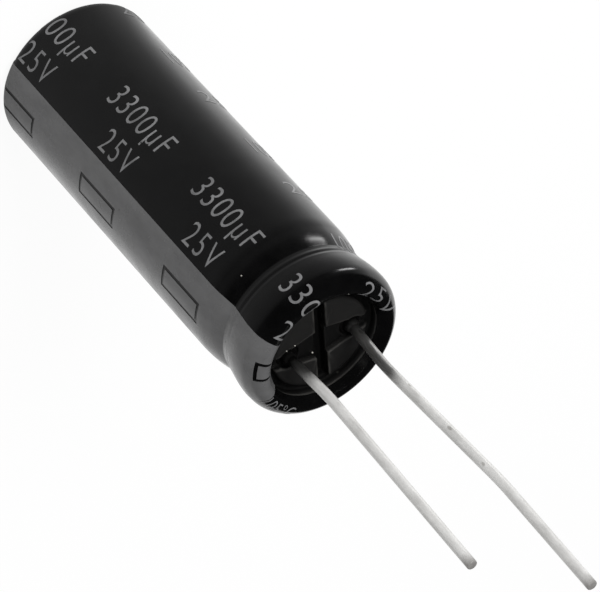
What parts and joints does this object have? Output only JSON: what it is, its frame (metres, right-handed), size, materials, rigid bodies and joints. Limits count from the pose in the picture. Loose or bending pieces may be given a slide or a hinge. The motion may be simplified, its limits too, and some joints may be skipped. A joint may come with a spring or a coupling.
{
  "type": "electrolytic capacitor",
  "caption": "Cylindrical radial-lead aluminium capacitor: sleeved can with a beaded neck, rubber seal, polarity stripe and one long and one short wire lead.",
  "frame": {"origin": "centre of the closed end, in the plane it stands on", "axes": "+Z along the can from the closed end to the leads, +X towards the long lead, +Y along the channel in the seal"},
  "size_m": [0.0128, 0.0128, 0.0635],
  "materials": {
    "can": "drawn bare aluminium, satin, with scored lines in the closed end",
    "sleeve": "black shrunk film, semi-gloss, faint draw lines",
    "ink": "mid-grey printed ink on the sleeve, semi-gloss",
    "seal": "black moulded rubber, satin",
    "lead": "tinned wire, mottled dull grey, darker at the cut tips",
    "tab": "bare aluminium, satin",
    "anode_foil": "etched aluminium foil, matte grey",
    "cathode_foil": "etched aluminium foil, lighter matte grey",
    "separator": "thin soaked separator paper",
    "tape": "amber closing tape"
  },
  "bodies": {
    "root": {"can": "can", "sleeve": "sleeve", "polarity_stripe": "ink", "rubber_seal": "seal", "anode_lead": "lead", "cathode_lead": "lead", "anode_tab": "tab", "cathode_tab": "tab", "anode_foil": "anode_foil", "cathode_foil": "cathode_foil", "inner_paper": "separator", "outer_paper": "separator", "winding_tape": "tape"}
  },
  "joints": []
}
